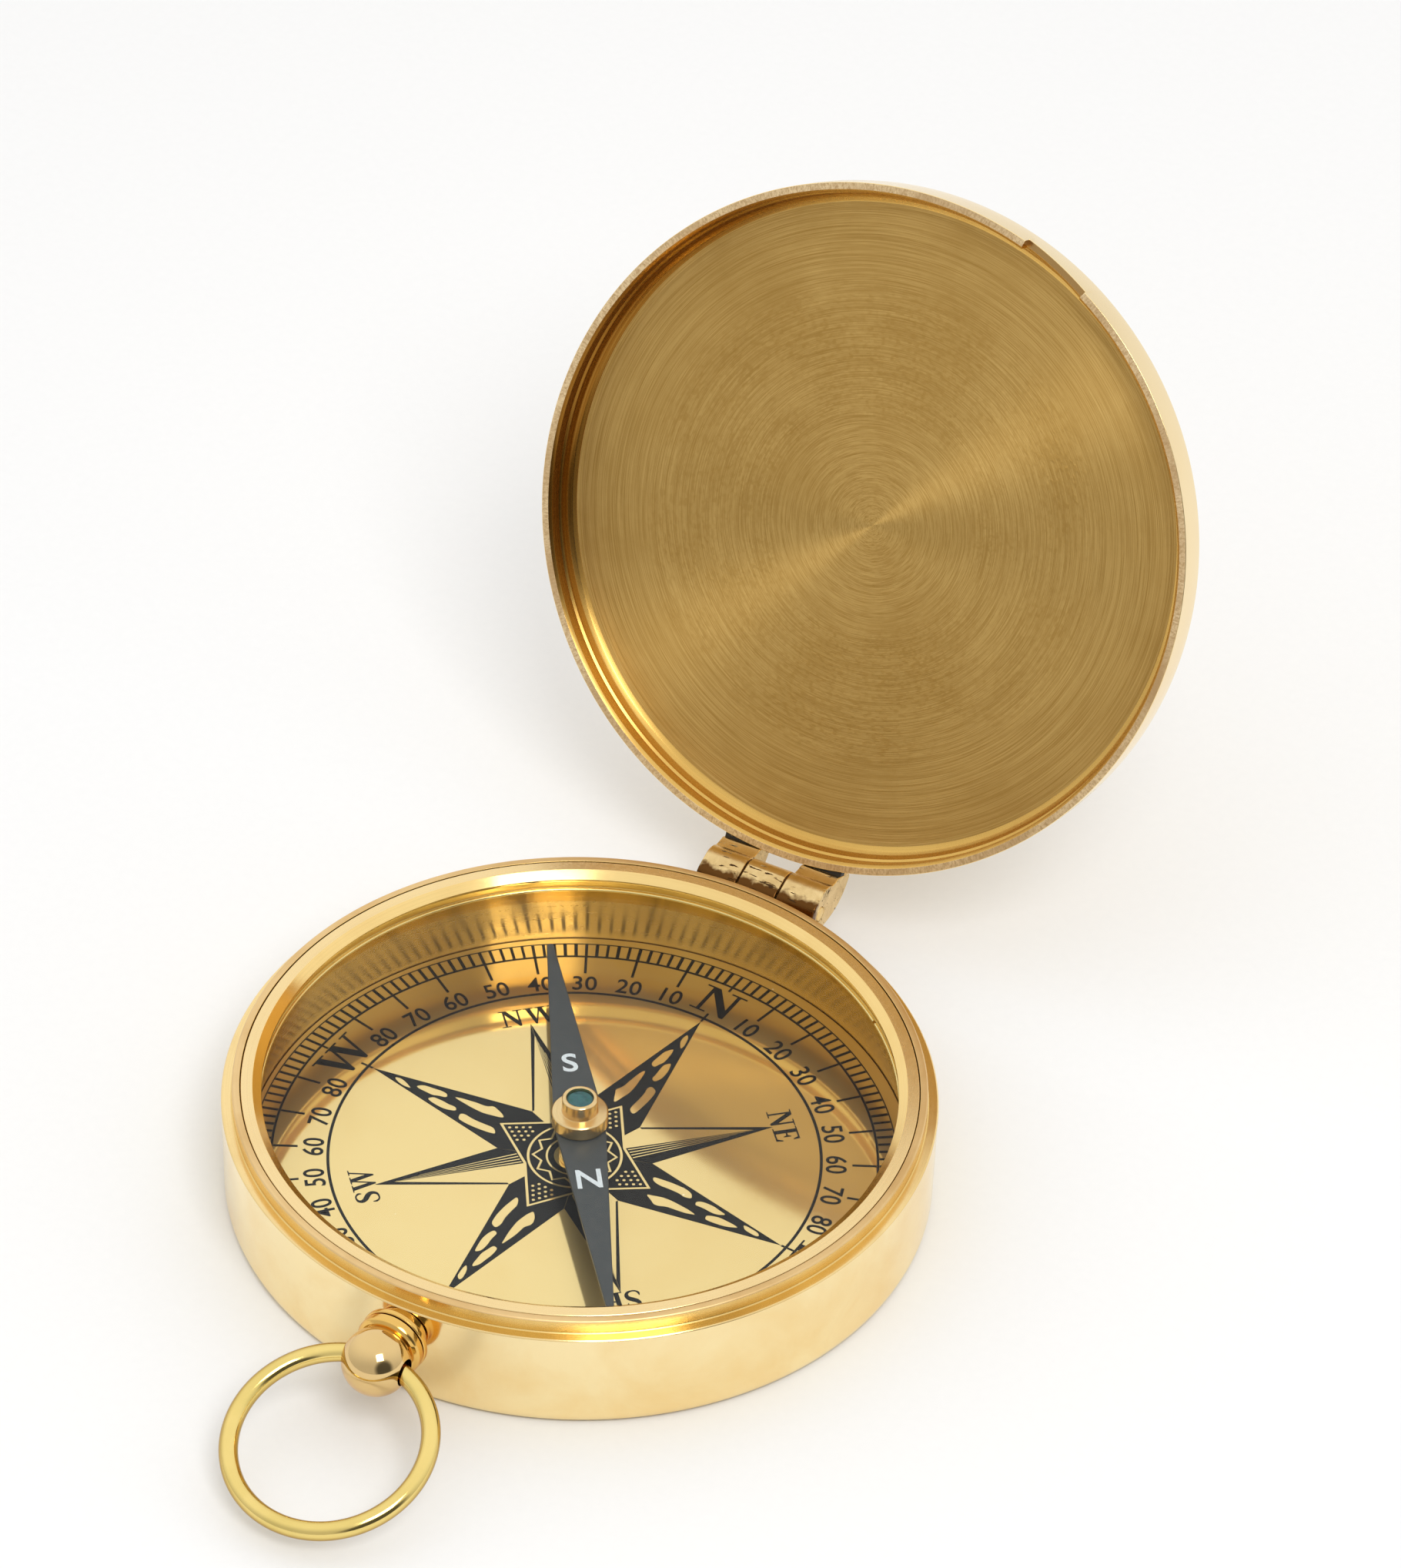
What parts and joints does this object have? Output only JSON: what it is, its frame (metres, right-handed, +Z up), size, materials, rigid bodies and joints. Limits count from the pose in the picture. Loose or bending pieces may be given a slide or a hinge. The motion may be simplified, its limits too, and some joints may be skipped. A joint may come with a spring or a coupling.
{
  "type": "ship compass",
  "caption": "Pocket ship's compass: brass cup with hinged dished lid, printed dial and pivoted needle under glass, and a pendant ball carrying a wire bail.",
  "frame": {"origin": "centre of the flat underside of the cup, where it rests on a table", "axes": "+Z up through the needle's pivot, +Y towards the lid hinge, -Y towards the pendant, +X to the right as seen from the pendant"},
  "size_m": [0.0752, 0.145, 0.0787],
  "materials": {
    "brass_polished": "hand-polished turned brass, slightly worn edges",
    "brass_bezel": "fine-turned brass",
    "glass_cover": "clear flat glass",
    "brass_wire": "drawn wire",
    "dial_brass": "lacquered brass with dark printed dial",
    "brass_satin": "satin brass with small casting marks",
    "steel_pin": "bright ground steel",
    "needle_paint": "dark slate paint with white letters",
    "brass_cap": "turned brass",
    "jewel_green": "polished teal-green jewel",
    "brass_pin": "drawn brass rod",
    "brass_lid": "concentric turned brass inside, polished outside",
    "brass_pendant": "polished turned brass",
    "brass_bail": "polished drawn brass wire"
  },
  "bodies": {
    "case": {"case_cup": "brass_polished", "bezel_ring": "brass_bezel", "cover_glass": "glass_cover", "glass_snap_wire": "brass_wire", "dial_plate": "dial_brass", "pivot_foot": "brass_satin", "pivot_pin": "steel_pin", "case_hinge_knuckle": "brass_satin", "hinge_pin": "brass_pin", "pendant_boss": "brass_pendant", "pendant_stud": "brass_pin", "pendant_knob": "brass_pendant"},
    "needle": {"needle_blade": "needle_paint", "needle_cap": "brass_cap", "cap_jewel": "jewel_green"},
    "lid": {"lid_shell": "brass_lid", "lid_knuckle_left": "brass_satin", "lid_knuckle_right": "brass_satin"},
    "bail": {"bail_ring": "brass_bail"}
  },
  "joints": [
    {"name": "lid_hinge", "type": "hinge", "parent": "case", "child": "lid", "pos_m": [0, 0.0411, 0.00865], "axis": [-1, 0, 0], "range_deg": [-114.8, 0]},
    {"name": "needle_spin", "type": "hinge", "parent": "case", "child": "needle", "pos_m": [0, 0, 0.0095], "axis": [0, 0, 1], "continuous": true},
    {"name": "bail_swing", "type": "hinge", "parent": "case", "child": "bail", "pos_m": [0, -0.043, 0.009], "axis": [-1, 0, 0], "range_deg": [-4.9, 137]}
  ]
}
